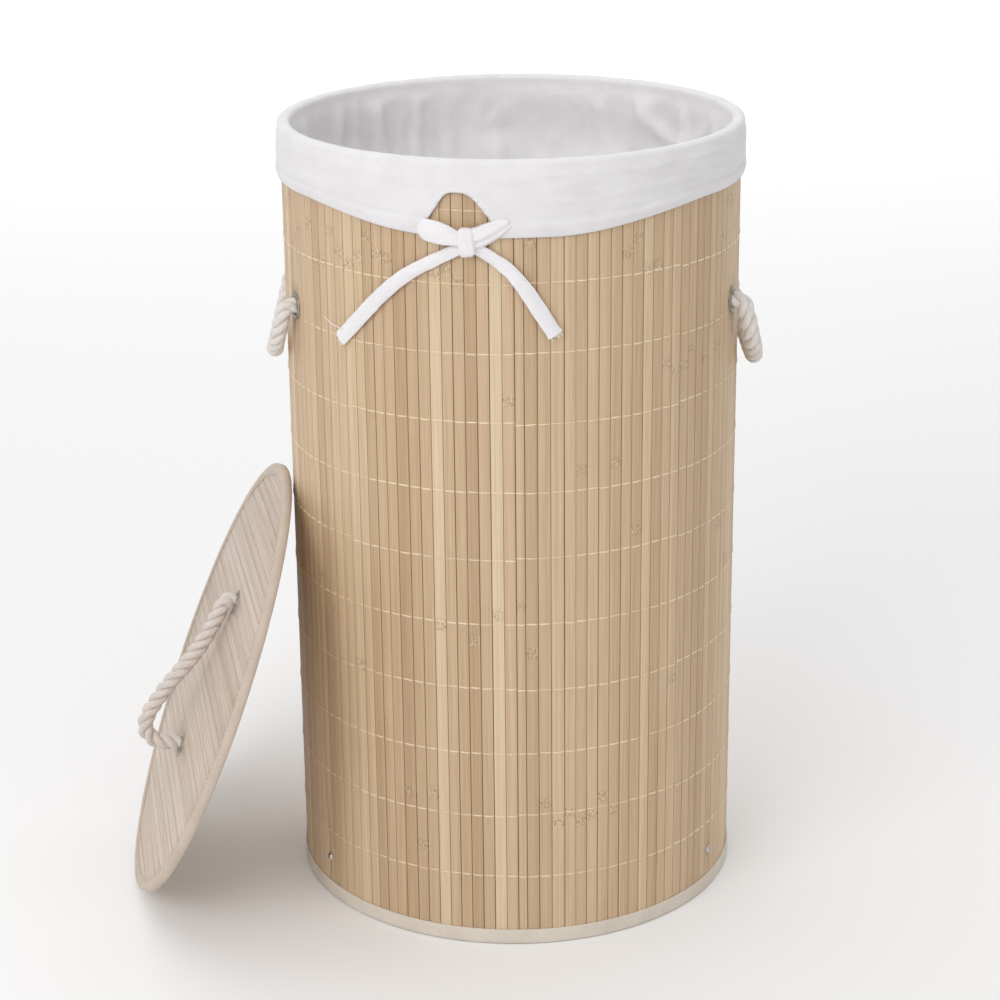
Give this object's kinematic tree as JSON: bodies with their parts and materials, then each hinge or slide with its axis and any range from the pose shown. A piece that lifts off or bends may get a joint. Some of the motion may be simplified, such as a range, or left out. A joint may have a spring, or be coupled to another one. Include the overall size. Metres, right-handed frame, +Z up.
{
  "type": "laundry hamper with lid",
  "caption": "Round slatted bamboo laundry hamper with a tied cotton liner, rope side handles and a loose round lid leaning on its side.",
  "frame": {"origin": "middle of the hamper's round foot, on the floor", "axes": "+Z up the hamper's axis; -Y the front, where the liner's tie is; the lid leans on the -X side"},
  "size_m": [0.5043, 0.3772, 0.6016],
  "materials": {
    "bamboo": "dry split bamboo slats, satin, cream to tan from slat to slat",
    "lid_bamboo": "dry split bamboo slats, satin, greyer than the wall",
    "fibreboard": "bare hardboard and fibreboard, matt",
    "hoop_wood": "bent strip wood, planed",
    "cotton": "white woven cotton, soft and slightly creased",
    "edge_cloth": "cream woven tape with one stitched line",
    "backing": "open-weave backing cloth, matt",
    "sewing_thread": "cream cotton thread",
    "rope": "three-strand twisted cotton rope, soft fibres",
    "eyelet_metal": "plated eyelet, satin",
    "screw_metal": "plated dome-head screw"
  },
  "bodies": {
    "hamper": {"wall_slats_front": "bamboo", "wall_slats_right": "bamboo", "wall_slats_back": "bamboo", "wall_slats_left": "bamboo", "wall_backing_cloth": "backing", "wall_threads": "sewing_thread", "wall_seam_tape": "backing", "top_hoop": "hoop_wood", "top_edge_tape": "edge_cloth", "bottom_edge_tape": "edge_cloth", "base_board": "fibreboard", "base_screws": "screw_metal", "wall_eyelets": "eyelet_metal", "wall_eyelet_washers": "eyelet_metal", "rope_ends_right": "rope", "rope_ends_left": "rope"},
    "right_handle": {"rope_loop_right": "rope"},
    "left_handle": {"rope_loop_left": "rope"},
    "liner": {"liner_bag": "cotton", "liner_base": "cotton", "liner_cuff": "cotton", "liner_hem": "cotton", "tie_knot": "cotton", "tie_loop_left": "cotton", "tie_loop_right": "cotton", "tie_tail_left": "cotton", "tie_tail_right": "cotton"},
    "lid": {"lid_board": "fibreboard", "lid_backing_cloth": "backing", "lid_slats": "lid_bamboo", "lid_edge_tape": "edge_cloth", "lid_eyelets": "eyelet_metal", "lid_eyelet_washers": "eyelet_metal", "lid_rope_ends": "rope"},
    "lid_handle": {"lid_rope_loop": "rope"}
  },
  "joints": [
    {"name": "lid_lift", "type": "slide", "parent": "hamper", "child": "lid", "axis": [-0.7027, -0.0788, 0.7071], "range_m": [0, 0.4]},
    {"name": "liner_lift", "type": "slide", "parent": "hamper", "child": "liner", "axis": [0, 0, 1], "range_m": [0, 0.62]},
    {"name": "right_rope_swing", "type": "hinge", "parent": "hamper", "child": "right_handle", "pos_m": [0.17008, 0, 0.473], "axis": [0, -1, 0], "range_deg": [0, 150]},
    {"name": "left_rope_swing", "type": "hinge", "parent": "hamper", "child": "left_handle", "pos_m": [-0.17008, 0, 0.473], "axis": [0, 1, 0], "range_deg": [0, 150]},
    {"name": "lid_rope_flop", "type": "hinge", "parent": "lid", "child": "lid_handle", "pos_m": [-0.25187, -0.02825, 0.16834], "axis": [0.3771, 0.0423, 0.9252], "range_deg": [-65, 65]}
  ]
}
